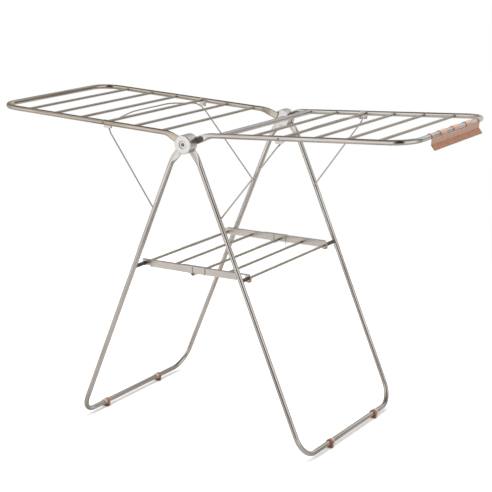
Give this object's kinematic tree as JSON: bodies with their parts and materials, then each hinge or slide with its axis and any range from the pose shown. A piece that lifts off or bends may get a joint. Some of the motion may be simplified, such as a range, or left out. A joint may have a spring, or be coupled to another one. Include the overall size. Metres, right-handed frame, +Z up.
{
  "type": "clothes drying rack",
  "caption": "Free-standing folding clothes rack: crossing U-shaped steel legs, hinged wings of rungs on wire props, a folding shelf and a ribbed grip strip.",
  "frame": {"origin": "on the floor, under the middle of the hub axis, halfway between the two hubs", "axes": "+X across the rack towards the wing with the grip strip, +Y along the rungs towards the back hub, +Z up"},
  "size_m": [1.4813, 0.6484, 1.0221],
  "materials": {
    "steel": "polished tube",
    "dark_steel": "satin",
    "copper_plastic": "satin",
    "grey_plastic": "satin",
    "dark_plastic": "satin"
  },
  "bodies": {
    "left_leg": {"left_leg_tube": "steel", "front_hub_outer": "steel", "back_hub_inner": "steel", "front_hub_bolt": "dark_steel", "front_hub_nut": "dark_steel", "front_hub_cap": "dark_steel", "left_foot_collars": "grey_plastic", "left_front_foot": "copper_plastic", "left_back_foot": "copper_plastic"},
    "right_leg": {"right_leg_tube": "steel", "back_hub_outer": "steel", "front_hub_inner": "steel", "back_hub_bolt": "dark_steel", "back_hub_nut": "dark_steel", "back_hub_cap": "dark_steel", "right_foot_collars": "grey_plastic", "right_front_foot": "copper_plastic", "right_back_foot": "copper_plastic"},
    "left_wing": {"left_wing_tube": "steel", "left_wing_rung_1": "steel", "left_wing_rung_2": "steel", "left_wing_rung_3": "steel", "left_wing_rung_4": "steel", "left_wing_rung_5": "steel", "left_wing_rung_6": "steel", "left_prop_hooks": "steel", "left_hook_rivets": "dark_steel"},
    "right_wing": {"right_wing_tube": "steel", "right_wing_cross_tube": "steel", "right_wing_rung_2": "steel", "right_wing_rung_3": "steel", "right_wing_rung_4": "steel", "right_wing_rung_5": "steel", "right_wing_rung_6": "steel", "right_prop_hooks": "steel", "right_hook_rivets": "dark_steel", "grip_strip": "copper_plastic"},
    "left_prop": {"left_prop_wire": "dark_steel"},
    "right_prop": {"right_prop_wire": "dark_steel"},
    "shelf_left": {"left_shelf_axle": "steel", "shelf_rung_1": "steel", "front_left_strut": "steel", "back_left_strut": "steel", "front_left_leaf": "steel", "back_left_leaf": "steel", "shelf_hinge_pins": "dark_steel", "left_shelf_spacers": "dark_plastic"},
    "shelf_right": {"right_shelf_axle": "steel", "shelf_rung_2": "steel", "shelf_rung_3": "steel", "front_right_strut": "steel", "back_right_strut": "steel", "front_right_leaf": "steel", "back_right_leaf": "steel", "right_shelf_spacers": "dark_plastic", "shelf_clips": "copper_plastic"}
  },
  "joints": [
    {"name": "leg_fold", "type": "hinge", "parent": "left_leg", "child": "right_leg", "pos_m": [0, 0, 0.95], "axis": [0, 1, 0], "range_deg": [0, 44]},
    {"name": "left_wing_fold", "type": "hinge", "parent": "left_leg", "child": "left_wing", "pos_m": [0, 0, 0.95], "axis": [0, -1, 0], "range_deg": [0, 64]},
    {"name": "right_wing_fold", "type": "hinge", "parent": "right_leg", "child": "right_wing", "pos_m": [0, 0, 0.95], "axis": [0, 1, 0], "range_deg": [0, 64]},
    {"name": "left_prop_swing", "type": "hinge", "parent": "left_leg", "child": "left_prop", "pos_m": [-0.11313, 0, 0.728], "axis": [0, -1, 0], "range_deg": [0, 116]},
    {"name": "right_prop_swing", "type": "hinge", "parent": "right_leg", "child": "right_prop", "pos_m": [0.11313, 0, 0.728], "axis": [0, 1, 0], "range_deg": [0, 116]},
    {"name": "shelf_left_tilt", "type": "hinge", "parent": "left_leg", "child": "shelf_left", "pos_m": [-0.18998, 0, 0.545], "axis": [0, -1, 0], "range_deg": [0, 63.13]},
    {"name": "shelf_centre_fold", "type": "hinge", "parent": "shelf_left", "child": "shelf_right", "pos_m": [0, 0, 0.537], "axis": [0, 1, 0], "range_deg": [0, 170.16]}
  ],
  "couplings": [
    {"joint": "left_prop_swing", "follows": "left_wing_fold", "ratio": 1.8109},
    {"joint": "right_prop_swing", "follows": "right_wing_fold", "ratio": 1.8109},
    {"joint": "shelf_left_tilt", "follows": "leg_fold", "ratio": 1.4325},
    {"joint": "shelf_centre_fold", "follows": "leg_fold", "ratio": 3.8649}
  ]
}
